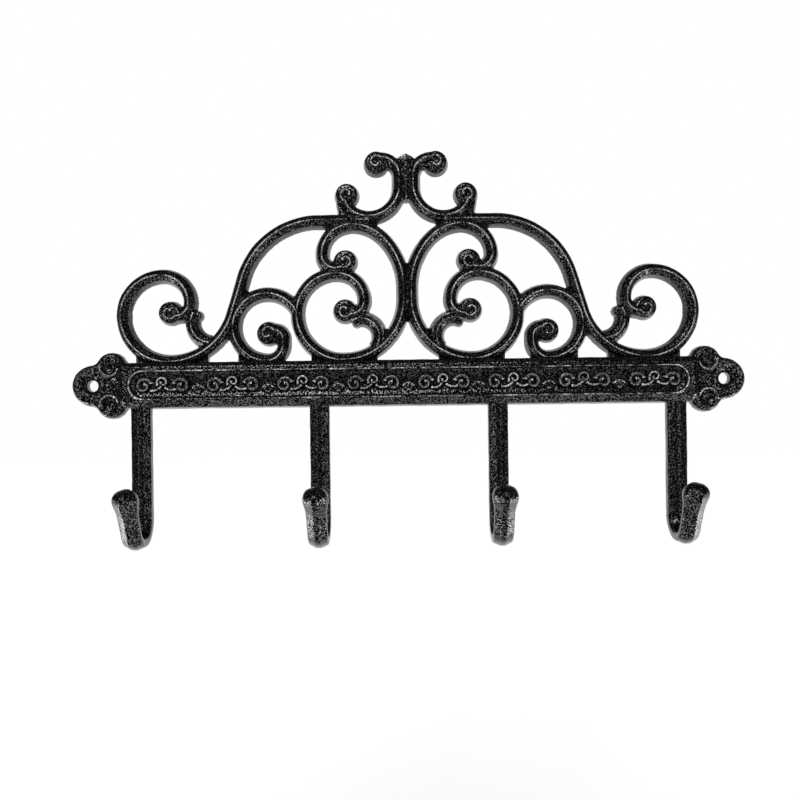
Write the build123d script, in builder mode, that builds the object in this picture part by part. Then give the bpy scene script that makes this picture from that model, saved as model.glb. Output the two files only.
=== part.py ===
from build123d import *
import os
from math import cos, radians, sin

# Wall key holder, cast in one piece: a scrollwork crest on a relief bar with screw lugs and hooks
# Frame: X along the bar, Z up, the flat back on Y = 0, the front towards -Y
# Origin: on the back plane, midway between the two screw holes
# The right half is modelled, then mirrored about the middle plane

# Screw holes and lugs
HOLE_SPACING = 245.8
HOLE_DIAMETER = 4.4
SINK_DIAMETER = 7.4
SINK_ANGLE = 90.0
LUG_REACH = 12.9
LUG_DEPTH = 5.0
LUG_TIP_RADIUS = 8.2
LUG_NECK_HEIGHT = 16.0
LOBE_RADIUS = 5.1
LOBE_SPREAD = 7.5
LOBE_INSET = 6.8
COMMA_RADIUS = 2.5
COMMA_TURN = 230.0
COMMA_START = 60.0
COMMA_WIDTH = 1.6
COMMA_SIDES = 6
BUTTON_RADIUS = 3.2
BUTTON_INSET = 8.2
BUTTON_SIDES = 8
LUG_RELIEF = 0.8

# Bar and its sunk panel
BAR_HEIGHT = 17.4
BAR_DEPTH = 7.0
BAR_TOP_DRAFT = 0.3
BAR_FOOT_DRAFT = 0.7
BAR_BEVEL_HEIGHT = 2.4
BAR_BEVEL_DEPTH = 2.2
PANEL_MARGIN = 2.5
PANEL_HEIGHT = 10.2
PANEL_SINK = 1.4

# Running scroll relief in the panel
GROUP_PITCH = 27.1
RING_PITCH = 7.2
RING_RADIUS = 2.5
HOOKLET_RADIUS = 1.3
HOOKLET_TURN = 225.0
RELIEF_WIDTH = 1.7
RELIEF_RISE = 1.1
RING_SIDES = 8
HOOKLET_SIDES = 5
BUD_RADIUS = 1.5
BUD_SIDES = 6
BUD_DROP = 2.2

# Ridged band that every scroll of the crest is drawn with, and the webs behind it
BAND_WIDTH = 4.6
BAND_WALL = 4.6
BAND_RIDGE = 5.7
EYE_RADIUS = 4.5
EYE_HEIGHT = 6.3
EYE_BEVEL = 1.6
EYE_SIDES = 10
WEB_DEPTH = 3.4
FOOT_RISE = 0.4

# Volutes of the end scrolls and of the centre scrolls, as quarter arcs from the foot to the eye
VOLUTE_RADII = (17.9, 15.6, 10.6, 5.3)
CURL_RADIUS = 2.7
CURL_TURN = 60.0
END_INSET = 16.9
CENTRE_OFFSET = 25.1

# Husks, the leaves that branch off the volutes: an arc on one edge, points from the arc's start on the other
HUSK_DEPTH = 4.6
END_HUSK_SHIFT = (2.3, -3.3)
END_HUSK_RADIUS = 10.6
END_HUSK_EDGE = ((-11.4, -8.0), (-9.6, -5.5), (-7.6, -3.1), (-8.3, 1.5), (0.0, 3.3))
CENTRE_HUSK_OFFSET = 5.6
CENTRE_HUSK_RISE = 12.1
CENTRE_HUSK_RADIUS = 4.9
CENTRE_HUSK_EDGE = ((-11.0, -3.2), (-9.7, -0.7), (-4.3, 7.8), (-2.5, 10.6), (3.5, 7.0))

# Loop above each centre volute
AXIS_GAP = 1.5
LOOP_RISE = 4.6
LOOP_FLANK_RADIUS = 27.0
LOOP_TOP_RADIUS = 17.0
LOOP_DROP_RADIUS = 11.6
LOOP_HOOK_RADIUS = 5.2
LOOP_HOOK_TURN = 115.0

# Arch from the loop down to the end volute
ARCH_RISE = 1.8
ARCH_RADIUS = 31.0
ARCH_SLOPE = 73.0
ARCH_FOOT_RADIUS = 26.0

# Small ring under the arch
SMALL_RADIUS = 13.0
SMALL_OVERLAP = 1.3
SMALL_START = 150.0
SMALL_FOOT_RADIUS = 6.3
SMALL_RISE = 2.0
SMALL_HOOK_RADIUS = 3.6

# Turn of each scroll's underside that the web over the bar fills, towards the middle and the end
END_WEB = (36.0, 46.0)
CENTRE_WEB = (34.0, 45.0)
SMALL_WEB = (63.0, 62.0)

# Finial on top: two C scrolls back to back, with a peak between them
FINIAL_OFFSET = 2.7
FINIAL_SEAT = 3.2
FINIAL_RADIUS = 11.9
FINIAL_FOOT_TURN = 25.0
FINIAL_HOOK_RADIUS = 5.5
FINIAL_HOOK_TURN = 70.0
FINIAL_RISE = 3.1
FINIAL_TOP_RADIUS = 7.1
CROTCH_DROP = 6.0
PEAK_RADIUS = 2.9

# Hooks
HOOKS_PER_SIDE = 2
HOOK_INSET = 5.6
HOOK_WIDTH = 7.2
HOOK_THICKNESS = 4.6
STEM_DROP = 53.5
BEND_RADIUS = 7.5
BEND_TURN = 155.0
ARM_LENGTH = 14.0
KNOB_RADIUS = 4.8
KNOB_LENGTH = 8.0
KNOB_CROWN = 4.4
KNOB_BEVEL = 1.9
KNOB_SIDES = 12

# Places worked out from the sizes above
hole_x = HOLE_SPACING / 2
bar_half = hole_x - LUG_REACH
bar_top = BAR_HEIGHT / 2
panel_half = bar_half - PANEL_MARGIN
panel_floor = BAR_DEPTH - PANEL_SINK
lobe_x = hole_x - LOBE_INSET
foot_z = bar_top + FOOT_RISE
end_x = bar_half - END_INSET
loop_radius = CENTRE_OFFSET - AXIS_GAP
small_x = CENTRE_OFFSET + VOLUTE_RADII[0] + SMALL_RADIUS - SMALL_OVERLAP
hook_pitch = (bar_half - HOOK_INSET) / (HOOKS_PER_SIDE - 0.5)
groups_per_side = round(panel_half / GROUP_PITCH)
group_middles = [(k + 0.5) * GROUP_PITCH for k in range(groups_per_side)]
bud_middles = [k * GROUP_PITCH for k in range(groups_per_side)]


def volute_line(foot_x):
    """Line of a volute, from its foot out and over the top to its eye."""
    with BuildLine(Plane.XZ) as line:
        arc = JernArc((foot_x, foot_z), (1, 0), VOLUTE_RADII[0], 90)
        for radius in VOLUTE_RADII[1:]:
            arc = JernArc(arc @ 1, arc % 1, radius, 90)
    return line.line


def curl_end(line, turn):
    """Centre of the eye that a line curls into."""
    with BuildLine(Plane.XZ):
        curl = JernArc(line @ 1, line % 1, CURL_RADIUS, turn)
    return curl @ 1


end_volute = volute_line(end_x)
centre_volute = volute_line(CENTRE_OFFSET)

end_curl_middle = end_volute.edges().sort_by(SortBy.RADIUS)[0] @ 0.5
end_husk_start = (end_curl_middle.X + END_HUSK_SHIFT[0], end_curl_middle.Z + END_HUSK_SHIFT[1])
centre_husk_start = (CENTRE_OFFSET - CENTRE_HUSK_OFFSET, foot_z + CENTRE_HUSK_RISE)

with BuildLine(Plane.XZ) as loop:
    loop_foot = JernArc((CENTRE_OFFSET, foot_z), (-1, 0), loop_radius, -90)
    loop_side = Line(loop_foot @ 1, loop_foot @ 1 + Vector(0, 0, LOOP_RISE))
    loop_flank = JernArc(loop_side @ 1, loop_side % 1, LOOP_FLANK_RADIUS, -45)
    loop_crown = JernArc(loop_flank @ 1, loop_flank % 1, LOOP_TOP_RADIUS, -45)
    loop_drop = JernArc(loop_crown @ 1, loop_crown % 1, LOOP_DROP_RADIUS, -90)
    JernArc(loop_drop @ 1, loop_drop % 1, LOOP_HOOK_RADIUS, -LOOP_HOOK_TURN)

loop_top = (loop_crown @ 1).Z
finial_x = FINIAL_OFFSET + FINIAL_RADIUS
finial_z = loop_top + FINIAL_SEAT + FINIAL_RADIUS
peak_z = finial_z + FINIAL_RISE + FINIAL_TOP_RADIUS
arch_top = loop_top + ARCH_RISE
arch_bends = (ARCH_RADIUS + ARCH_FOOT_RADIUS) * (1 - cos(radians(ARCH_SLOPE)))
arch_straight = (arch_top - foot_z - arch_bends) / sin(radians(ARCH_SLOPE))

with BuildLine(Plane.XZ) as arch:
    arch_foot = JernArc((end_x, foot_z), (-1, 0), ARCH_FOOT_RADIUS, -ARCH_SLOPE)
    arch_flank = Line(arch_foot @ 1, arch_foot @ 1 + (arch_foot % 1) * arch_straight)
    arch_crown = JernArc(arch_flank @ 1, arch_flank % 1, ARCH_RADIUS, ARCH_SLOPE)
    Line(arch_crown @ 1, (finial_x, arch_top))

with BuildLine(Plane.XZ) as small_ring:
    small_centre = (small_x, foot_z + SMALL_RADIUS)
    small_round = CenterArc(small_centre, SMALL_RADIUS, SMALL_START, -90 - SMALL_START)
    small_foot = JernArc(small_round @ 1, small_round % 1, SMALL_FOOT_RADIUS, -90)
    small_side = Line(small_foot @ 1, small_foot @ 1 + Vector(0, 0, SMALL_RISE))
    JernArc(small_side @ 1, small_side % 1, SMALL_HOOK_RADIUS, -90)

with BuildLine(Plane.XZ) as finial_lower:
    finial_back = JernArc((FINIAL_OFFSET, finial_z), (0, -1), FINIAL_RADIUS, 90 + FINIAL_FOOT_TURN)
    JernArc(finial_back @ 1, finial_back % 1, FINIAL_HOOK_RADIUS, FINIAL_HOOK_TURN)

with BuildLine(Plane.XZ) as finial_upper:
    finial_side = Line((FINIAL_OFFSET, finial_z), (FINIAL_OFFSET, finial_z + FINIAL_RISE))
    JernArc(finial_side @ 1, finial_side % 1, FINIAL_TOP_RADIUS, -90)

scroll_lines = [
    arch.line,
    end_volute,
    small_ring.line,
    centre_volute,
    loop.line,
    finial_lower.line,
    finial_upper.line,
]
eye_centres = [
    curl_end(end_volute, CURL_TURN),
    curl_end(centre_volute, CURL_TURN),
    curl_end(small_ring.line, -CURL_TURN),
    curl_end(finial_upper.line, -CURL_TURN),
    curl_end(loop.line, -CURL_TURN),
    finial_lower.line @ 1,
]


def polar(radius, angle):
    """Point at a radius and an angle in degrees."""
    return Vector(radius * cos(radians(angle)), radius * sin(radians(angle)))


def draw_curl(centre, radius, width, start, turn, sides):
    """Faceted curl of even width about a centre, drawn on the sketch in hand."""
    angles = [start + turn * k / sides for k in range(sides + 1)]
    with BuildLine() as outline:
        outer = [centre + polar(radius + width / 2, angle) for angle in angles]
        inner = [centre + polar(radius - width / 2, angle) for angle in angles]
        Polyline(*outer, *reversed(inner), close=True)
    make_face(outline.edges())


def sweep_band(line):
    """Ridged band along a scroll's line."""
    with BuildSketch(Plane(origin=line @ 0, x_dir=(0, -1, 0), z_dir=line % 0)) as section:
        with BuildLine():
            Polyline(
                (0, -BAND_WIDTH / 2),
                (BAND_WALL, -BAND_WIDTH / 2),
                (BAND_RIDGE, 0),
                (BAND_WALL, BAND_WIDTH / 2),
                (0, BAND_WIDTH / 2),
                close=True,
            )
        make_face()
    sweep(section.sketch, path=line)


def add_husk(start, heading, radius, turn, points):
    """Leaf with an arc on one edge and the points of its other edge given from the arc's start."""
    with BuildSketch(Plane.XZ) as husk:
        with BuildLine():
            back = JernArc(start, heading, radius, turn)
            edge = [(start[0] + x, start[1] + z) for x, z in points]
            Polyline(back @ 1, *edge, back @ 0)
        make_face()
    extrude(husk.sketch, amount=HUSK_DEPTH)


def add_foot_web(foot_x, inner_radius, outer_radius, turns):
    """Web that fills the wedge between a scroll's underside and the bar."""
    with BuildSketch(Plane.XZ) as web:
        with BuildLine():
            inner = JernArc((foot_x, foot_z), (-1, 0), inner_radius, -turns[0])
            outer = JernArc((foot_x, foot_z), (1, 0), outer_radius, turns[1])
            Polyline(inner @ 1, ((inner @ 1).X, 0), ((outer @ 1).X, 0), outer @ 1)
        make_face()
    extrude(web.sketch, amount=WEB_DEPTH)


def add_hook(x):
    """Hook of flat bar that drops from the panel bar, bends forward and ends in a knob."""
    half = HOOK_THICKNESS / 2
    with BuildLine(Plane.YZ.offset(x)) as path:
        stem = Line((-half, 0), (-half, -STEM_DROP))
        bend = JernArc(stem @ 1, stem % 1, BEND_RADIUS, -BEND_TURN)
        arm = Line(bend @ 1, bend @ 1 + (bend % 1) * ARM_LENGTH)
    with BuildSketch(Plane(origin=stem @ 0, x_dir=(1, 0, 0), z_dir=stem % 0)) as section:
        Rectangle(HOOK_WIDTH, HOOK_THICKNESS)
    sweep(section.sketch, path=path.line)
    tip = Plane(origin=arm @ 1, x_dir=(1, 0, 0), z_dir=arm % 1)
    with Locations(tip):
        add(knob.part)


# Knob of a hook, along Z from the end of the hook's arm
with BuildPart() as knob:
    with BuildSketch(Plane.XY.offset(KNOB_CROWN)):
        RegularPolygon(KNOB_RADIUS, KNOB_SIDES)
    extrude(amount=-KNOB_LENGTH)
    chamfer(knob.edges().filter_by(Axis.Z, reverse=True), KNOB_BEVEL)

# Eye of a scroll
with BuildPart() as eye:
    with BuildSketch(Plane.XZ):
        RegularPolygon(EYE_RADIUS, EYE_SIDES)
    extrude(amount=EYE_HEIGHT)
    chamfer(eye.faces().sort_by(Axis.Y)[0].edges(), EYE_BEVEL)

with BuildPart() as key_holder:
    # Bar with drafted top and bottom faces and a bevel along the lower front edge
    with BuildSketch(Plane.YZ):
        with BuildLine():
            Polyline(
                (0, bar_top + BAR_TOP_DRAFT),
                (-BAR_DEPTH, bar_top),
                (-BAR_DEPTH, BAR_BEVEL_HEIGHT - bar_top),
                (BAR_BEVEL_DEPTH - BAR_DEPTH, -bar_top),
                (0, -bar_top - BAR_FOOT_DRAFT),
                close=True,
            )
        make_face()
    extrude(amount=bar_half)

    # Trefoil lug with its relief
    with BuildSketch(Plane.XZ):
        with Locations((hole_x, 0)):
            Circle(LUG_TIP_RADIUS)
        with Locations((lobe_x, LOBE_SPREAD), (lobe_x, -LOBE_SPREAD)):
            Circle(LOBE_RADIUS)
        with Locations((bar_half, 0)):
            Rectangle(LOBE_INSET * 2, LUG_NECK_HEIGHT)
    extrude(amount=LUG_DEPTH)
    with BuildSketch(Plane.XZ.offset(LUG_DEPTH)):
        for side in (1, -1):
            lobe = Vector(lobe_x, side * LOBE_SPREAD)
            draw_curl(lobe, COMMA_RADIUS, COMMA_WIDTH, side * COMMA_START, side * COMMA_TURN, COMMA_SIDES)
        with Locations((hole_x - BUTTON_INSET, 0)):
            RegularPolygon(BUTTON_RADIUS, BUTTON_SIDES)
    extrude(amount=LUG_RELIEF)

    # Sunk panel
    with BuildSketch(Plane.XZ.offset(BAR_DEPTH)):
        SlotOverall(panel_half * 2, PANEL_HEIGHT)
    extrude(amount=-PANEL_SINK, mode=Mode.SUBTRACT)

    # Running scrolls on the panel's floor: a ring, an S and a ring in each group, a bud between groups
    with BuildSketch(Plane.XZ.offset(panel_floor)):
        for x in group_middles:
            with Locations((x - RING_PITCH, 0), (x + RING_PITCH, 0)):
                RegularPolygon(RING_RADIUS + RELIEF_WIDTH / 2, RING_SIDES)
                RegularPolygon(RING_RADIUS - RELIEF_WIDTH / 2, RING_SIDES, mode=Mode.SUBTRACT)
            for side in (1, -1):
                middle = Vector(x, side * HOOKLET_RADIUS)
                draw_curl(middle, HOOKLET_RADIUS, RELIEF_WIDTH, -90 * side, -HOOKLET_TURN, HOOKLET_SIDES)
        with Locations(*[(x, -BUD_DROP) for x in bud_middles]):
            RegularPolygon(BUD_RADIUS, BUD_SIDES)
    extrude(amount=RELIEF_RISE)

    # Hooks
    for k in range(HOOKS_PER_SIDE):
        add_hook((k + 0.5) * hook_pitch)

    # Webs at the scrolls' feet, husks, and the web and peak of the finial
    add_foot_web(end_x, ARCH_FOOT_RADIUS, VOLUTE_RADII[0], END_WEB)
    add_foot_web(CENTRE_OFFSET, loop_radius, VOLUTE_RADII[0], CENTRE_WEB)
    add_foot_web(small_x, SMALL_FOOT_RADIUS, SMALL_RADIUS, SMALL_WEB)
    add_husk(end_husk_start, (0, -1), END_HUSK_RADIUS, -90, END_HUSK_EDGE)
    add_husk(centre_husk_start, (-1, 0), CENTRE_HUSK_RADIUS, 90, CENTRE_HUSK_EDGE)
    crotch_z = finial_z - CROTCH_DROP
    with BuildSketch(Plane.XZ):
        with Locations((0, crotch_z)):
            Rectangle(FINIAL_OFFSET * 2, peak_z - crotch_z, align=(Align.CENTER, Align.MIN))
    extrude(amount=WEB_DEPTH)
    with BuildSketch(Plane.XZ):
        with Locations((0, peak_z)):
            RegularPolygon(PEAK_RADIUS, EYE_SIDES)
    extrude(amount=EYE_HEIGHT - EYE_BEVEL)

    # Scrolls and their eyes
    for line in scroll_lines:
        sweep_band(line)
    with Locations(*eye_centres):
        add(eye.part)

    # Countersunk screw hole
    with Locations(Plane.XZ.offset(LUG_DEPTH) * Pos(hole_x, 0)):
        CounterSinkHole(HOLE_DIAMETER / 2, SINK_DIAMETER / 2, counter_sink_angle=SINK_ANGLE)

    # Left half
    split(bisect_by=Plane.YZ, keep=Keep.TOP)
    mirror(about=Plane.YZ)

key_holder.part.label = "key_holder"
os.makedirs("parts", exist_ok=True)
export_step(key_holder.part, "parts/key_holder.step")
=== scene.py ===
from math import atan2, cos, degrees, hypot, pi, radians, sin

import bmesh
import bpy
import numpy as np
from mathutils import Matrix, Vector


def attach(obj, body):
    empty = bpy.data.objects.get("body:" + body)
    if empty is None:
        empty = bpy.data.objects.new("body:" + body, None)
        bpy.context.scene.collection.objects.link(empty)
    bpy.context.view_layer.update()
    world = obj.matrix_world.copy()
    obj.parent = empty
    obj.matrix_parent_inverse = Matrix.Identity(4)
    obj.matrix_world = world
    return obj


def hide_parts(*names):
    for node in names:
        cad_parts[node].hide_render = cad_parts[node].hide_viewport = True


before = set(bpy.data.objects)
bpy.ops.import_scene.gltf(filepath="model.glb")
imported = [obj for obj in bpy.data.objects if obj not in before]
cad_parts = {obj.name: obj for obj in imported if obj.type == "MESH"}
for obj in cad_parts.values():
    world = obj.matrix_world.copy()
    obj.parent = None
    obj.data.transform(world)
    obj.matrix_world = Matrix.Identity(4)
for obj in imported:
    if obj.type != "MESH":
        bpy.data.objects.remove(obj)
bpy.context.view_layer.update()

# Lengths in millimetres, angles in degrees. X runs along the bar, Z up, the flat back is on Y = 0, front to -Y
MM = 0.001

# Bar, panel and lugs
HOLE_X = 122.9
HOLE_RADIUS = 2.2
SINK_RADIUS = 3.7
SINK_START = 3.5
BAR_HALF = 110.0
BAR_DEPTH = 7.0
PANEL_HALF = 107.5
PANEL_HEIGHT = 10.2
PANEL_FLOOR = 5.6
LIP_OUT = 0.4
LIP_BASE = 6.7
LUG_DEPTH = 5.0
LUG_TIP_RADIUS = 8.2
LOBE_X = 115.6
LOBE_SPREAD = 7.2
LOBE_RADIUS = 5.9
NECK_HALF = 8.0
NECK_END = 117.0
NECK_FILLET = 1.5
LOBE_FILLET = 2.4
LUG_ROOT = 8.0
BUTTON_X = 114.7
GROUP_PITCH = 27.1
COIL_PITCH = 7.2
COIL_RADIUS = 3.0
CURL_RADIUS = 2.2
CORE_RADIUS = 0.5

# Crest
FOOT_Z = 9.1
END_X = 93.1
CENTRE_X = 25.1
SMALL_X = 54.7
VOLUTE_RADII = (17.9, 15.6, 10.6, 5.3)
LOOP_RADIUS = CENTRE_X - 1.5
LOOP_RISE = 4.6
LOOP_FLANK_RADIUS = 27.0
LOOP_TOP_RADIUS = 17.0
LOOP_BACK_RADIUS = 11.6
LOOP_CURL_RADIUS = 5.2
SMALL_RADIUS = 13.0
SMALL_START = 150.0
SMALL_TAIL_RADIUS = 6.3
SMALL_TAIL = 2.0
SMALL_CURL_RADIUS = 3.6
ARCH_FOOT_RADIUS = 26.0
ARCH_RADIUS = 31.0
ARCH_SLOPE = 73.0
ARCH_ABOVE_LOOP = 1.8
FINIAL_ABOVE_LOOP = 3.2
FINIAL_RADIUS = 11.9
FINIAL_CURL_RADIUS = 7.5
FINIAL_RISE = 3.6
FINIAL_HEAD_RADIUS = 7.2
FINIAL_OFFSET = 2.7
PEAK_ABOVE_FINIAL = 10.2
WAIST_HALF = 3.4
EYE_RADIUS = 5.0
UPPER_EYE_X = 11.6
UPPER_EYE_RISE = 8.9
UPPER_EYE_RADIUS = 5.1
LOWER_EYE_X = 23.2
LOWER_EYE_DROP = 3.4
WEB_DEPTH = 3.4
WEB_ROOT_Z = 6.0

# Hooks
HOOK_PLACES = (-104.4, -34.8, 34.8, 104.4)
STEM_DROP = 52.6
STEM_ROOT = 2.0
STEM_MIDDLE = 2.3
BEND_RADIUS = 7.5
BEND_TURN = 155.0
ARM_LENGTH = 6.0
KNOB_HALF_WIDTH = 3.7
KNOB_HALF_THICKNESS = 2.6

# Cast surface
VOXEL = 0.27
SOFTEN_ROUNDS = 3
WAVE_LENGTH = 6.0
WAVE_HEIGHT = 0.22
TRIANGLE_LIMIT = 195000
# The crest and the hooks stop this far short of the bar's flat back
SET_BACK = 0.08

# Studio
FLOOR_DROP = 300.0
CAMERA_PLACE = (-3.4, -321.6, -6.9)
CAMERA_LEAN = 0.72
CAMERA_LENS = 36.8
CAMERA_SENSOR = 36.0


class Casting:
    """Closed shells of the pattern, gathered before they are fused."""

    def __init__(self):
        self.points = []
        self.faces = []

    def add(self, points, faces):
        """Adds a shell from its points and faces."""
        start = len(self.points)
        self.points.extend(points)
        self.faces.extend(tuple(start + i for i in face) for face in faces)

    def loft(self, rings, closed=False):
        """Shell through rings of equal length, with flat ends, or closed on itself."""
        count = len(rings[0])
        last = len(rings) if closed else len(rings) - 1
        faces = []
        for k in range(last):
            low, high = k * count, (k + 1) % len(rings) * count
            for i in range(count):
                j = (i + 1) % count
                faces.append((low + i, low + j, high + j, high + i))
        if not closed:
            faces.append(tuple(reversed(range(count))))
            faces.append(tuple(range(last * count, (last + 1) * count)))
        self.add([p for ring in rings for p in ring], faces)

    def mesh(self, name):
        """Mesh of all the shells, with their faces turned outwards."""
        made = bpy.data.meshes.new(name)
        made.from_pydata([(x * MM, y * MM, z * MM) for x, y, z in self.points], [], self.faces)
        shell = bmesh.new()
        shell.from_mesh(made)
        bmesh.ops.recalc_face_normals(shell, faces=shell.faces)
        shell.to_mesh(made)
        shell.free()
        return made


# The casting's three pieces. New shells go to the one that cast names.
crest = Casting()
plate = Casting()
hooks = Casting()
cast = crest


def plain_object(name, mesh):
    """Object of the scene that holds a mesh."""
    made = bpy.data.objects.new(name, mesh)
    bpy.context.scene.collection.objects.link(made)
    return made


def evaluated(obj, name):
    """Mesh of an object with its modifiers applied."""
    graph = bpy.context.evaluated_depsgraph_get()
    made = bpy.data.meshes.new_from_object(obj.evaluated_get(graph))
    made.name = name
    return made


def add_carved(blank, cutters):
    """Adds a blank to the casting with the cutters taken out of it."""
    block = plain_object("blank", blank.mesh("blank"))
    tools = []
    for cutter in cutters:
        tool = plain_object("cutter", cutter.mesh("cutter"))
        cut = block.modifiers.new("cut", "BOOLEAN")
        cut.operation = "DIFFERENCE"
        cut.solver = "EXACT"
        cut.object = tool
        tools.append(tool)
    mesh = evaluated(block, "carved")
    cast.add([tuple(v.co / MM) for v in mesh.vertices], [tuple(p.vertices) for p in mesh.polygons])
    for made in tools + [block]:
        bpy.data.objects.remove(made)


def run(start, heading, *moves):
    """Line of straights and arcs as (x, z, heading) points. A move is a length or (radius, turn)."""
    x, z = start
    angle = radians(heading)
    line = [(x, z, angle)]
    for move in moves:
        if isinstance(move, tuple):
            radius, turn = move[0], radians(move[1])
            steps = max(4, int(abs(turn) * max(radius, 4.0) / 0.7))
            side = 1 if turn > 0 else -1
            cx, cz = x - side * radius * sin(angle), z + side * radius * cos(angle)
            for k in range(1, steps + 1):
                a = angle + turn * k / steps
                line.append((cx + side * radius * sin(a), cz - side * radius * cos(a), a))
        else:
            steps = max(2, int(move / 1.5))
            for k in range(1, steps + 1):
                part = move * k / steps
                line.append((x + cos(angle) * part, z + sin(angle) * part, angle))
        x, z, angle = line[-1]
    return line


def mirrored(line):
    """The same line on the left half."""
    return [(-x, z, pi - a) for x, z, a in line]


# Section of a scroll: steep drafted walls, two facets and a ridge, as offset across and depth
BAND = (
    (-3.0, 0.0), (-2.8, 1.2), (-2.15, 3.8), (-1.7, 4.7), (-0.45, 5.55), (-0.3, 5.95), (0.0, 6.15),
    (0.3, 5.95), (0.45, 5.55), (1.7, 4.7), (2.15, 3.8), (2.8, 1.2), (3.0, 0.0),
)


def bead(half, rise):
    """Section of a rounded bead."""
    angles = [pi * k / 8 for k in range(9)]
    return [(-half * cos(a), rise * sin(a) if 0 < k < 8 else -0.4) for k, a in enumerate(angles)]


def band(line, profile=BAND, widths=(1.0, 1.0), depths=(1.0, 1.0), base=0.0):
    """Sweeps a section along a line, with its width and depth changing evenly from start to end."""
    rings = []
    for k, (x, z, a) in enumerate(line):
        t = k / (len(line) - 1)
        wide = widths[0] + (widths[1] - widths[0]) * t
        deep = depths[0] + (depths[1] - depths[0]) * t
        rings.append([(x - sin(a) * u * wide, -base - d * deep, z + cos(a) * u * wide) for u, d in profile])
    cast.loft(rings)


def both(line, **sizes):
    """Sweeps a section on the right half and on the left half."""
    band(line, **sizes)
    band(mirrored(line), **sizes)


def turned_rings(centre, profile, sides=36):
    """Rings about a depthwise axis from (radius, depth) steps."""
    angles = [2 * pi * k / sides for k in range(sides)]
    return [[(centre[0] + r * cos(a), -d, centre[1] + r * sin(a)) for a in angles] for r, d in profile]


def spiral(centre, outer, inner, start, turns, points=40):
    """Line that winds in from the outer radius to the inner one, clockwise for negative turns."""
    line = []
    for k in range(points + 1):
        t = k / points
        radius = outer + (inner - outer) * t
        a = radians(start) + 2 * pi * turns * t
        heading = a + (pi / 2 if turns > 0 else -pi / 2)
        line.append((centre[0] + radius * cos(a), centre[1] + radius * sin(a), heading))
    return line


def drafted(outline, levels):
    """Rings of an outline, drawn in by an inset at each depth, from (inset, depth) levels."""
    count = len(outline)
    area = sum(outline[k - 1][0] * outline[k][1] - outline[k][0] * outline[k - 1][1] for k in range(count))
    inward = 1 if area > 0 else -1
    rings = []
    for inset, depth in levels:
        ring = []
        for k in range(count):
            ahead, behind = outline[(k + 1) % count], outline[k - 1]
            a = atan2(ahead[1] - behind[1], ahead[0] - behind[0])
            x, z = outline[k][0] - inward * sin(a) * inset, outline[k][1] + inward * cos(a) * inset
            ring.append((x, -depth, z))
        rings.append(ring)
    return rings


# Scroll lines of the right half
def volute(x):
    """Line of a volute from its foot over the top to its eye."""
    return run((x, FOOT_Z), 0, *[(radius, 90) for radius in VOLUTE_RADII])


end_volute = volute(END_X)
centre_volute = volute(CENTRE_X)
loop = run(
    (CENTRE_X, FOOT_Z), 180, (LOOP_RADIUS, -90), LOOP_RISE, (LOOP_FLANK_RADIUS, -45),
    (LOOP_TOP_RADIUS, -45), (LOOP_BACK_RADIUS, -90), (LOOP_CURL_RADIUS, -115),
)
loop_top = max(z for x, z, a in loop)
arch_top = loop_top + ARCH_ABOVE_LOOP
finial_z = loop_top + FINIAL_ABOVE_LOOP + FINIAL_RADIUS
peak_z = finial_z + PEAK_ABOVE_FINIAL
slope = radians(ARCH_SLOPE)
arch_straight = (arch_top - FOOT_Z - (ARCH_RADIUS + ARCH_FOOT_RADIUS) * (1 - cos(slope))) / sin(slope)
arch = run((END_X, FOOT_Z), 180, (ARCH_FOOT_RADIUS, -ARCH_SLOPE), arch_straight, (ARCH_RADIUS, ARCH_SLOPE))
arch += run(arch[-1][:2], 180, arch[-1][0] - FINIAL_OFFSET - FINIAL_RADIUS)[1:]
around = radians(SMALL_START)
small_start = (SMALL_X + SMALL_RADIUS * cos(around), FOOT_Z + SMALL_RADIUS * (1 + sin(around)))
small_moves = ((SMALL_RADIUS, -240), (SMALL_TAIL_RADIUS, -90), SMALL_TAIL, (SMALL_CURL_RADIUS, -90))
small_ring = run(small_start, SMALL_START - 90, *small_moves)
finial_lower = run((FINIAL_OFFSET, finial_z), -90, (FINIAL_RADIUS, 115), (FINIAL_CURL_RADIUS, 50))
finial_upper = run((FINIAL_OFFSET, finial_z), 90, FINIAL_RISE, (FINIAL_HEAD_RADIUS, -90))
for line in (end_volute, centre_volute, loop, arch, small_ring, finial_lower, finial_upper):
    both(line)


def eye_centre(line, sense, radius=2.7, turn=60):
    """Centre of the eye that a line curls into."""
    x, z, a = line[-1]
    return run((x, z), degrees(a), (radius, sense * turn))[-1][:2]


def add_eye(line, sense, centre, radius=EYE_RADIUS):
    """Eye with drafted walls, and a ridge that winds in from the end of a scroll's line."""
    r = radius
    steps = ((r, 0.0), (r - 0.15, 1.2), (r - 0.7, 3.9), (r - 1.05, 4.7), (r - 1.6, 5.1), (0.4, 5.2))
    start = degrees(atan2(line[-1][1] - centre[1], line[-1][0] - centre[0]))
    reach = min(r - 1.9, max(2.2, hypot(line[-1][0] - centre[0], line[-1][1] - centre[1])))
    for side in (1, -1):
        place = (side * centre[0], centre[1])
        cast.loft(turned_rings(place, steps))
        first = start if side > 0 else 180 - start
        band(spiral(place, reach, 1.0, first, side * sense * 0.8), profile=bead(0.6, 1.0), base=5.05)


for line, sense in ((end_volute, 1), (centre_volute, 1), (small_ring, -1), (loop, -1)):
    add_eye(line, sense, eye_centre(line, sense))
upper_eye_z = finial_z + UPPER_EYE_RISE
add_eye(finial_upper, -1, (UPPER_EYE_X, upper_eye_z), UPPER_EYE_RADIUS)
add_eye(finial_lower, 1, (LOWER_EYE_X, finial_z - LOWER_EYE_DROP))

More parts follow.
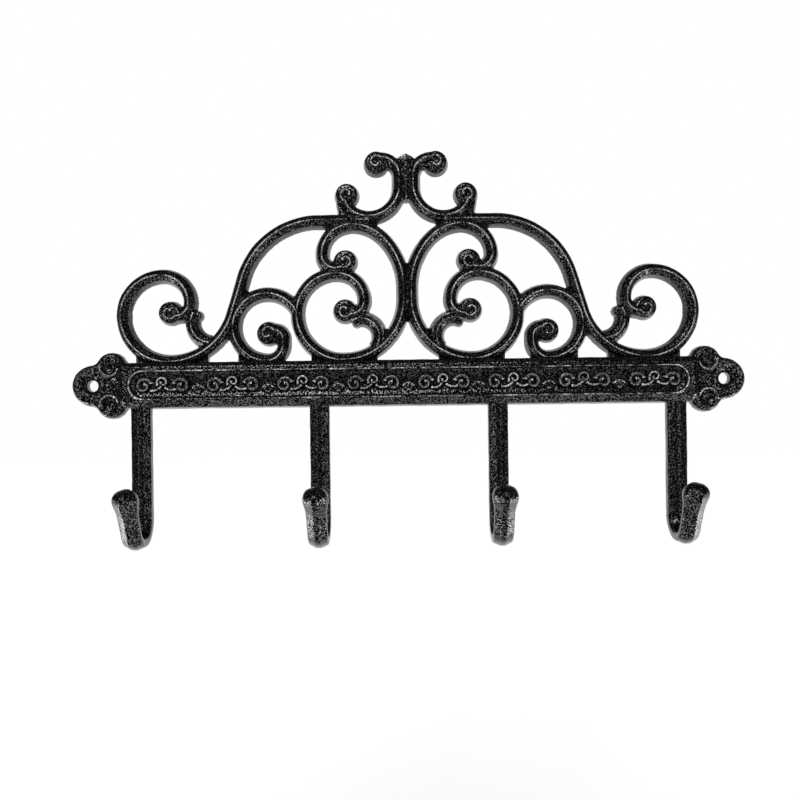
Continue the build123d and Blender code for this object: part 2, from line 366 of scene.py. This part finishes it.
# Necks beside the finial's upper eyes, and between its lower eyes and the arch
UPPER_NECK_X = 8.2
UPPER_NECK = ((2.6, 0.0), (2.2, 3.8), (1.4, 4.9))
LOWER_NECK = ((19.6, 63.6), (26.6, 63.2), (26.9, 66.0), (27.6, 69.6), (27.8, 72.6), (22.7, 74.0))
LOWER_NECK_DRAFT = ((0.0, 0.0), (0.3, 2.0), (0.9, 3.9))
for side in (1, -1):
    cast.loft(turned_rings((side * UPPER_NECK_X, upper_eye_z), UPPER_NECK, 24))
    cast.loft(drafted([(side * x, z) for x, z in LOWER_NECK], LOWER_NECK_DRAFT))


# Webs between the scrolls' feet and the bar
def add_foot_web(x, inner_radius, outer_radius, inner_turn, outer_turn):
    """Web that fills the wedge between a scroll's underside and the bar."""
    inner = [p[:2] for p in run((x, FOOT_Z), 180, (inner_radius, -inner_turn))]
    outer = [p[:2] for p in run((x, FOOT_Z), 0, (outer_radius, outer_turn))]
    outline = inner[::-1] + outer[1:] + [(outer[-1][0], WEB_ROOT_Z), (inner[-1][0], WEB_ROOT_Z)]
    for side in (1, -1):
        cast.loft([[(side * px, -d, pz) for px, pz in outline] for d in (0.0, WEB_DEPTH)])


add_foot_web(END_X, ARCH_FOOT_RADIUS, VOLUTE_RADII[0], 36, 46)
add_foot_web(CENTRE_X, LOOP_RADIUS, VOLUTE_RADII[0], 34, 45)
add_foot_web(SMALL_X, SMALL_TAIL_RADIUS, SMALL_RADIUS, 63, 62)


# Husks: a C-shaped leaf with a hooked tip, from the volute to the next scroll
def add_husk(centre, radius, start, turn, node, node_radius):
    """Leaf along an arc, with a second rib on its outer side and a rounded node at its tip."""
    side = 1 if turn > 0 else -1
    rib = {"profile": bead(0.55, 0.7), "base": 4.4}
    for reach, wide, sizes in ((radius, 1.08, {}), (radius + 1.5, 1.0, rib)):
        first = (centre[0] + reach * cos(radians(start)), centre[1] + reach * sin(radians(start)))
        leaf = run(first, start + side * 90, (reach, turn))
        both(leaf, widths=(wide, wide), depths=(0.93, 0.88), **sizes)
    r = node_radius
    steps = ((r, 0.0), (r - 0.2, 2.6), (r - 0.6, 4.2), (r - 1.1, 4.8))
    for x in (node[0], -node[0]):
        cast.loft(turned_rings((x, node[1]), steps, 24))


add_husk((76.5, 24.0), 7.6, 32, -118, (82.0, 26.7), 2.4)
add_husk((18.2, 17.95), 7.1, 60, 162, (19.9, 23.3), 2.0)

# Finial: web between the two scrolls, a spine that spreads to the peak, and the peak
waist = [(0.0, finial_z - 6.4), (WAIST_HALF, finial_z - 5.4)]
waist += [(WAIST_HALF, peak_z + 0.9), (0.0, peak_z + 2.7)]
waist += [(-x, z) for x, z in waist[2:0:-1]]
cast.loft(drafted(waist, ((0.0, 0.0), (0.2, 2.0), (0.6, 4.4))))
band(run((0.0, finial_z - 5.0), 90, 15.5), profile=bead(1.0, 1.3), widths=(0.5, 2.4), base=4.1)

# Bar with bevelled edges and a sunk panel with round ends
cast = plate
BAR_SECTION = (
    (0.0, 9.0), (-5.1, 8.75), (-5.6, 8.5), (-6.85, 7.2), (-BAR_DEPTH, 6.8),
    (-BAR_DEPTH, -5.9), (-6.85, -6.3), (-4.9, -8.4), (-4.3, -8.8), (0.0, -9.4),
)


def slot_outline(half, height, steps=20):
    """Outline of a slot with round ends, with points along its straight sides."""
    r = height / 2
    turn = [pi * (k / steps - 0.5) for k in range(steps + 1)]
    right = [(half - r + r * cos(a), r * sin(a)) for a in turn]
    straight = [(half - r - (2 * half - 2 * r) * k / 60, r) for k in range(1, 60)]
    top = right + straight
    return top + [(-x, -z) for x, z in top]


bar = Casting()
ends = ((-BAR_HALF - 3.5, 0.68), (-BAR_HALF - 0.5, 0.97), (-BAR_HALF + 0.5, 1.0))
ends += tuple((-x, deep) for x, deep in reversed(ends))
bar.loft([[(x, y * deep, z * (0.75 + 0.25 * deep)) for y, z in BAR_SECTION] for x, deep in ends])
panel = Casting()
cove = ((4.0, 5.3), (3.0, 5.4), (2.0, 5.6), (1.0, 5.95), (0.3, 6.35), (0.0, 6.7), (0.0, 9.0))
panel.loft(drafted(slot_outline(PANEL_HALF, PANEL_HEIGHT), cove))
add_carved(bar, [panel])

# Lip around the panel
lip = slot_outline(PANEL_HALF + LIP_OUT, PANEL_HEIGHT + 2 * LIP_OUT)
rings = []
for k, (x, z) in enumerate(lip):
    ahead, behind = lip[(k + 1) % len(lip)], lip[k - 1]
    a = atan2(ahead[1] - behind[1], ahead[0] - behind[0])
    rings.append([(x - sin(a) * u, -LIP_BASE - d, z + cos(a) * u) for u, d in bead(0.45, 0.8)])
cast.loft(rings, closed=True)

# Running scrolls on the panel's floor: two coils, a smaller curl between them, a bud between groups
COIL_BEAD = bead(0.95, 1.55)
CURL_BEAD = bead(0.72, 1.5)
TAIL_BEAD = bead(0.65, 1.4)
LEAF_BEAD = bead(1.1, 1.15)
for k in range(-4, 4):
    x = (k + 0.5) * GROUP_PITCH
    for side in (-1, 1):
        coil = spiral((x + side * COIL_PITCH, -0.3), COIL_RADIUS, CORE_RADIUS, 90 + side * 75, -side * 1.25)
        band(coil, profile=COIL_BEAD, base=PANEL_FLOOR)
    band(spiral((x, 1.1), CURL_RADIUS, CORE_RADIUS, 215, -1.15), profile=CURL_BEAD, base=PANEL_FLOOR)
    band(run((x - 4.9, -2.0), -15, (3.9, 75)), profile=TAIL_BEAD, base=PANEL_FLOOR)
    band(run((x + 1.0, -0.8), -45, (3.6, 95)), profile=TAIL_BEAD, base=PANEL_FLOOR)
for k in range(-3, 4):
    for lean in (-38, 0, 38):
        leaf = run((k * GROUP_PITCH, -2.9), 90 + lean, 2.9)
        band(leaf, profile=LEAF_BEAD, widths=(0.7, 1.0), base=PANEL_FLOOR)


# Lugs: a trefoil plate with a countersunk hole, a dish and a comma on each lobe, and a button
def smooth_union(a, b, reach):
    """Joins two distance fields with a fillet."""
    overlap = max(reach - abs(a - b), 0.0) / reach
    return min(a, b) - overlap * overlap * reach / 4


def lug_field(x, z):
    """Distance field of the right lug's outline: a tip, two lobes and a neck."""
    tip = hypot(x - HOLE_X, z) - LUG_TIP_RADIUS
    neck = max(abs(z) - NECK_HALF, x - NECK_END)
    lobe = hypot(x - LOBE_X, abs(z) - LOBE_SPREAD) - LOBE_RADIUS
    return smooth_union(smooth_union(tip, neck, NECK_FILLET), lobe, LOBE_FILLET)


def lug_outline(rays=150, reach=22.0, step=0.1):
    """Outline of the right lug, found along rays from its button, cut off inside the bar."""
    outline = []
    for k in range(rays):
        a = 2 * pi * k / rays
        far = reach
        while lug_field(BUTTON_X + far * cos(a), far * sin(a)) > 0 and far > step:
            far -= step
        if cos(a) < 0:
            far = min(far, -LUG_ROOT / cos(a))
        outline.append((BUTTON_X + far * cos(a), far * sin(a)))
    return outline


LUG_DRAFT = ((0.0, 0.0), (0.15, 2.8), (0.55, 4.2), (1.3, LUG_DEPTH))
SINK = ((HOLE_RADIUS, -1.0), (HOLE_RADIUS, SINK_START), (SINK_RADIUS, LUG_DEPTH), (4.4, 5.5), (4.4, 7.0))
DISH = ((0.4, 3.7), (1.5, 3.85), (2.5, 4.3), (3.3, 5.05), (3.5, 7.0))
BUTTON = ((3.5, 4.2), (3.2, 5.2), (2.4, 5.6), (0.4, 5.75))
COMMA_BEAD = bead(0.65, 1.35)
outline = lug_outline()
for side in (1, -1):
    lug = Casting()
    lug.loft(drafted([(side * x, z) for x, z in outline], LUG_DRAFT))
    sink = Casting()
    sink.loft(turned_rings((side * HOLE_X, 0.0), SINK))
    cutters = [sink]
    for up in (1, -1):
        dish = Casting()
        dish.loft(turned_rings((side * LOBE_X, up * LOBE_SPREAD), DISH))
        cutters.append(dish)
    add_carved(lug, cutters)
    for up in (1, -1):
        first = 10 * up if side > 0 else 180 - 10 * up
        comma = spiral((side * LOBE_X, up * LOBE_SPREAD), 3.7, 3.2, first, -0.5 * side * up)
        band(comma, profile=COMMA_BEAD, widths=(1.4, 0.75), base=LUG_DEPTH - 0.2)
    cast.loft(turned_rings((side * BUTTON_X, 0.0), BUTTON, 28))

# Hooks: facets and a narrow flat on the inner side and on the arm's outer side, and a flat stem back
cast = hooks
INNER = (
    (-3.85, 0.0), (-3.8, 0.9), (-3.5, 1.3), (-0.8, 2.5),
    (0.8, 2.5), (3.5, 1.3), (3.8, 0.9), (3.85, 0.0),
)
OUTER_STEM = ((3.85, -1.2), (3.8, -2.3), (1.2, -2.3), (-1.2, -2.3), (-3.8, -2.3), (-3.85, -1.2))
OUTER_ARM = ((3.85, -0.4), (3.5, -0.95), (0.8, -3.0), (-0.8, -3.0), (-3.5, -0.95), (-3.85, -0.4))
# Knob as (length from its top, width, thickness, roundness)
KNOB = (
    (0.0, 0.1, 0.12, 1.0), (0.1, 0.42, 0.6, 1.0), (0.25, 0.62, 0.92, 1.0), (0.65, 0.88, 1.28, 0.95),
    (1.3, 1.08, 1.5, 0.85), (2.0, 1.19, 1.62, 0.75), (3.2, 1.28, 1.68, 0.65), (4.8, 1.29, 1.6, 0.45),
    (6.2, 1.22, 1.45, 0.3), (8.0, 1.1, 1.22, 0.15), (10.0, 1.01, 1.04, 0.0), (12.0, 1.0, 1.0, 0.0),
)


def knob_at(length):
    """Width, thickness and roundness of a hook at a length from its top."""
    for (s0, *low), (s1, *high) in zip(KNOB, KNOB[1:]):
        if length <= s1:
            t = (length - s0) / (s1 - s0)
            return [a + (b - a) * t for a, b in zip(low, high)]
    return KNOB[-1][1:]


# Hook's path from inside the bar to the knob's top, as (distance from the wall, height, heading)
KNOB_STEPS = (3.0, 2.0, 1.5, 1.4, 1.3, 1.2, 0.7, 0.65, 0.4, 0.15, 0.1)
path = run((STEM_MIDDLE, STEM_ROOT), -90, STEM_DROP + STEM_ROOT, (BEND_RADIUS, BEND_TURN), ARM_LENGTH)
for length in KNOB_STEPS:
    f, z, a = path[-1]
    path.append((f + cos(a) * length, z + sin(a) * length, a))
reach = [0.0]
for before, after in zip(path, path[1:]):
    reach.append(reach[-1] + hypot(after[0] - before[0], after[1] - before[1]))
bend_start = STEM_DROP + STEM_ROOT
bend_end = bend_start + BEND_RADIUS * radians(BEND_TURN)
for place in HOOK_PLACES:
    rings = []
    for (f, z, a), s in zip(path, reach):
        turned_in = min(1.0, max(0.0, (s - bend_start) / (bend_end - bend_start)))
        wide, thick, roundness = knob_at(reach[-1] - s)
        section = list(INNER)
        for (u0, v0), (u1, v1) in zip(OUTER_STEM, OUTER_ARM):
            section.append((u0 + (u1 - u0) * turned_in, v0 + (v1 - v0) * turned_in))
        ring = []
        for u, v in section:
            t = atan2(v / KNOB_HALF_THICKNESS, u / KNOB_HALF_WIDTH)
            u = (u + (KNOB_HALF_WIDTH * cos(t) - u) * roundness) * wide
            v = (v + (KNOB_HALF_THICKNESS * sin(t) - v) * roundness) * thick
            ring.append((place + u, -f + v * sin(a), z + v * cos(a)))
        rings.append(ring)
    cast.loft(rings)


# Edges and hollows of a mesh, for the wear of the paint, the painted highlight on edges and the painted shade
# in hollows
def mark_edges(mesh):
    """Stores each vertex's curvature in 1/mm: above zero on edges, below zero in hollows."""
    count = len(mesh.vertices)
    points, normals = np.empty(count * 3), np.empty(count * 3)
    mesh.vertices.foreach_get("co", points)
    mesh.vertices.foreach_get("normal", normals)
    points, normals = points.reshape(-1, 3) / MM, normals.reshape(-1, 3)
    pairs = np.empty(len(mesh.edges) * 2, dtype=np.int32)
    mesh.edges.foreach_get("vertices", pairs)
    a, b = pairs.reshape(-1, 2).T
    step = points[b] - points[a]
    square = (step * step).sum(1)
    bend = np.bincount(a, -(step * normals[a]).sum(1) / square, count)
    bend += np.bincount(b, (step * normals[b]).sum(1) / square, count)
    number = np.maximum(np.bincount(a, minlength=count) + np.bincount(b, minlength=count), 1)
    bend *= 2 / number
    around = np.bincount(a, bend[b], count) + np.bincount(b, bend[a], count)
    bend = (bend + around / number) / 2
    stored = mesh.attributes.new("bend", "FLOAT", "POINT")
    stored.data.foreach_set("value", bend.astype(np.float32))


# Fuse the shells of each piece, soften them as a sand casting is, and bring the mesh down to size
def add_piece(casting, name, back):
    """Piece of the casting, with its back no nearer to the wall than a depth."""
    blank = plain_object("casting_blank", casting.mesh("casting_blank"))
    fuse = blank.modifiers.new("fuse", "REMESH")
    fuse.mode = "VOXEL"
    fuse.voxel_size = VOXEL * MM
    fused = plain_object("casting_fused", evaluated(blank, "casting_fused"))
    bpy.data.objects.remove(blank)
    soften = fused.modifiers.new("soften", "SMOOTH")
    soften.factor = 0.5
    soften.iterations = SOFTEN_ROUNDS
    texture = bpy.data.textures.new("wave", "CLOUDS")
    texture.noise_scale = WAVE_LENGTH * MM
    texture.noise_depth = 1
    skin = fused.modifiers.new("wave", "DISPLACE")
    skin.texture = texture
    skin.strength = WAVE_HEIGHT * MM
    skin.mid_level = 0.5
    skin.texture_coords = "LOCAL"
    trim = fused.modifiers.new("trim", "DECIMATE")
    trim.ratio = min(1.0, TRIANGLE_LIMIT / (2 * len(fused.data.polygons)))
    piece = plain_object(name, evaluated(fused, name))
    bpy.data.objects.remove(fused)
    for vertex in piece.data.vertices:
        vertex.co.y = min(vertex.co.y, -back * MM)
    for polygon in piece.data.polygons:
        polygon.use_smooth = True
    mark_edges(piece.data)
    return piece


pieces = [
    add_piece(crest, "scroll_crest", SET_BACK),
    add_piece(plate, "relief_bar", 0.0),
    add_piece(hooks, "key_hooks", SET_BACK),
]

# Black paint on sand-cast iron
paint = bpy.data.materials.new("black_iron_paint")
paint.use_nodes = True
nodes, links = paint.node_tree.nodes, paint.node_tree.links
shader = nodes["Principled BSDF"]
where = nodes.new("ShaderNodeTexCoord")


# The next functions add nodes to the material that nodes and links belong to
def noise(scale, detail, roughness):
    """Noise in the material, placed on the object."""
    made = nodes.new("ShaderNodeTexNoise")
    made.inputs["Scale"].default_value = scale
    made.inputs["Detail"].default_value = detail
    made.inputs["Roughness"].default_value = roughness
    links.new(where.outputs["Object"], made.inputs["Vector"])
    return made.outputs["Fac"]


def spread(value, low, high, to_low, to_high):
    """Maps a range of a value to another range, clamped."""
    made = nodes.new("ShaderNodeMapRange")
    made.inputs["From Min"].default_value = low
    made.inputs["From Max"].default_value = high
    made.inputs["To Min"].default_value = to_low
    made.inputs["To Max"].default_value = to_high
    links.new(value, made.inputs["Value"])
    return made.outputs["Result"]


def maths(operation, a, b):
    """Sum, product or other operation of two values."""
    made = nodes.new("ShaderNodeMath")
    made.operation = operation
    for socket, value in zip(made.inputs, (a, b)):
        if isinstance(value, float):
            socket.default_value = value
        else:
            links.new(value, socket)
    return made.outputs["Value"]


# Grain of the sand, lumps that it leaves, and blotches in the wear and in the painted highlight on edges
grain = noise(1700.0, 1.0, 0.5)
lumps = noise(450.0, 2.0, 0.5)
blotch = noise(70.0, 4.0, 0.6)
height = maths("ADD", grain, maths("MULTIPLY", lumps, 0.4))
bump = nodes.new("ShaderNodeBump")
bump.inputs["Strength"].default_value = 0.35
bump.inputs["Distance"].default_value = 0.0004
links.new(height, bump.inputs["Height"])
links.new(bump.outputs["Normal"], shader.inputs["Normal"])

# Black in the grain's pits, dark grey on its tops
PAINT_TONES = ((0.3, 0.0005), (0.47, 0.0017), (0.55, 0.0055), (0.64, 0.018), (0.75, 0.065))
tone = nodes.new("ShaderNodeValToRGB")
ramp = tone.color_ramp.elements
ramp.remove(ramp[1])
for k, (spot, level) in enumerate(PAINT_TONES):
    stop = ramp.new(spot) if k else ramp[0]
    stop.position = spot
    stop.color = (level, level, level * 1.03, 1)
links.new(grain, tone.inputs["Fac"])

# Bare grey metal where edges are rubbed, in patches, which also serves as a painted highlight along the ridges
# and edges
shape = nodes.new("ShaderNodeAttribute")
shape.attribute_name = "bend"
edge = spread(shape.outputs["Fac"], 0.6, 1.4, 0.0, 1.0)
patches = maths("ADD", blotch, maths("MULTIPLY", grain, 2.0))
rub_and_highlight = maths("MULTIPLY", edge, spread(patches, 1.22, 1.72, 0.15, 1.0))
worn_and_highlit = nodes.new("ShaderNodeMix")
worn_and_highlit.data_type = "RGBA"
# Grey of the rubbed metal, which is also the colour of the painted highlight on ridges and edges
worn_and_highlit.inputs["B"].default_value = (0.62, 0.62, 0.625, 1)
links.new(rub_and_highlight, worn_and_highlit.inputs["Factor"])
links.new(tone.outputs["Color"], worn_and_highlit.inputs["A"])
links.new(worn_and_highlit.outputs["Result"], shader.inputs["Base Color"])
links.new(spread(lumps, 0.3, 0.7, 0.14, 0.26), shader.inputs["Roughness"])

# Gloss on the grain's tops, raised as a painted sheen on walls seen edge-on, and cut back as painted shade in
# hollows
hollow_shade = spread(shape.outputs["Fac"], -0.8, -0.1, 0.15, 1.0)
# Painted sheen: more gloss where a wall is seen edge-on
slant = nodes.new("ShaderNodeLayerWeight")
slant.inputs["Blend"].default_value = 0.5
edge_on_sheen = spread(slant.outputs["Facing"], 0.4, 0.72, 0.0, 1.0)
gloss_and_sheen = maths("MAXIMUM", spread(grain, 0.47, 0.67, 0.0, 1.0), edge_on_sheen)
links.new(maths("MULTIPLY", hollow_shade, gloss_and_sheen), shader.inputs["Specular IOR Level"])
for piece in pieces:
    piece.data.materials.append(paint)
    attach(piece, "root")
    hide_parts("key_holder")

# Pale floor, white to the camera and in reflections, that keeps the shadow
bpy.ops.mesh.primitive_plane_add(size=8.0, location=(0.0, 0.0, -FLOOR_DROP * MM))
floor = bpy.context.object
floor.name = "floor"
pale = bpy.data.materials.new("pale_floor")
pale.use_nodes = True
nodes, links = pale.node_tree.nodes, pale.node_tree.links
ground = nodes["Principled BSDF"]
ground.inputs["Base Color"].default_value = (0.86, 0.86, 0.86, 1)
ground.inputs["Roughness"].default_value = 0.9
rays = nodes.new("ShaderNodeLightPath").outputs
where = nodes.new("ShaderNodeTexCoord")
split = nodes.new("ShaderNodeSeparateXYZ")
links.new(where.outputs["Object"], split.inputs["Vector"])
behind = spread(split.outputs["Y"], -0.25, 0.0, 0.03, 0.93)
# The glow makes up for what the lamps leave short of white, so a soft shadow stays
away = nodes.new("ShaderNodeVectorMath")
away.operation = "LENGTH"
links.new(where.outputs["Object"], away.inputs[0])
lamp_light = maths("DIVIDE", 0.095, maths("MAXIMUM", away.outputs["Value"], 0.28))
in_view = maths("MULTIPLY", rays["Is Camera Ray"], maths("SUBTRACT", 1.01, lamp_light))
shown = maths("MAXIMUM", in_view, maths("MULTIPLY", rays["Is Glossy Ray"], behind))
glow = nodes.new("ShaderNodeEmission")
links.new(shown, glow.inputs["Strength"])
lifted = nodes.new("ShaderNodeAddShader")
links.new(ground.outputs["BSDF"], lifted.inputs[0])
links.new(glow.outputs["Emission"], lifted.inputs[1])
links.new(lifted.outputs["Shader"], nodes["Material Output"].inputs["Surface"])
floor.data.materials.append(pale)

# World: a white backdrop behind the object, a dim room in front of it
world = bpy.data.worlds.new("studio")
bpy.context.scene.world = world
world.use_nodes = True
nodes, links = world.node_tree.nodes, world.node_tree.links
back = nodes["Background"]
back.inputs["Color"].default_value = (1, 1, 1, 1)
rays = nodes.new("ShaderNodeLightPath").outputs
where = nodes.new("ShaderNodeTexCoord")
split = nodes.new("ShaderNodeSeparateXYZ")
links.new(where.outputs["Generated"], split.inputs["Vector"])
low_behind = maths("SUBTRACT", split.outputs["Y"], maths("MULTIPLY", split.outputs["Z"], 0.9))
room = spread(low_behind, 0.1, 0.6, 0.02, 1.0)
seen = maths("MAXIMUM", rays["Is Camera Ray"], rays["Is Transmission Ray"])
reflected = maths("MULTIPLY", rays["Is Glossy Ray"], room)
links.new(maths("MAXIMUM", maths("MAXIMUM", seen, reflected), 0.02), back.inputs["Strength"])


def soft_box(name, place, aim, size, watts, height=None):
    """Soft light aimed at a point, in metres, square unless its height is given."""
    data = bpy.data.lights.new(name, "AREA")
    data.shape = "RECTANGLE"
    data.size = size
    data.size_y = height or size
    data.energy = watts
    lamp = bpy.data.objects.new(name, data)
    bpy.context.scene.collection.objects.link(lamp)
    lamp.location = place
    lamp.rotation_euler = (Vector(aim) - Vector(place)).to_track_quat("-Z", "Y").to_euler()


soft_box("key_light", (-0.15, -0.68, 0.58), (0, 0, 0.0), 0.5, 7.2)
soft_box("left_light", (-0.55, -0.75, 0.05), (0, 0, 0.0), 0.25, 1.0)
soft_box("right_light", (0.55, -0.75, 0.05), (0, 0, 0.0), 0.25, 1.0)
soft_box("left_low_light", (-0.32, -0.06, -0.22), (0, -0.02, -0.04), 0.25, 0.9, 0.1)
soft_box("right_low_light", (0.32, -0.06, -0.22), (0, -0.02, -0.04), 0.25, 0.9, 0.1)

# Camera at the photograph's place, leaning by as much as the object leans there
camera_data = bpy.data.cameras.new("camera")
camera_data.sensor_width = CAMERA_SENSOR
camera_data.lens = CAMERA_LENS
camera = bpy.data.objects.new("camera", camera_data)
bpy.context.scene.collection.objects.link(camera)
camera.location = [along * MM for along in CAMERA_PLACE]
camera.rotation_euler = (radians(90.0), radians(CAMERA_LEAN), 0.0)
bpy.context.scene.camera = camera
bpy.context.scene.view_settings.view_transform = "Standard"
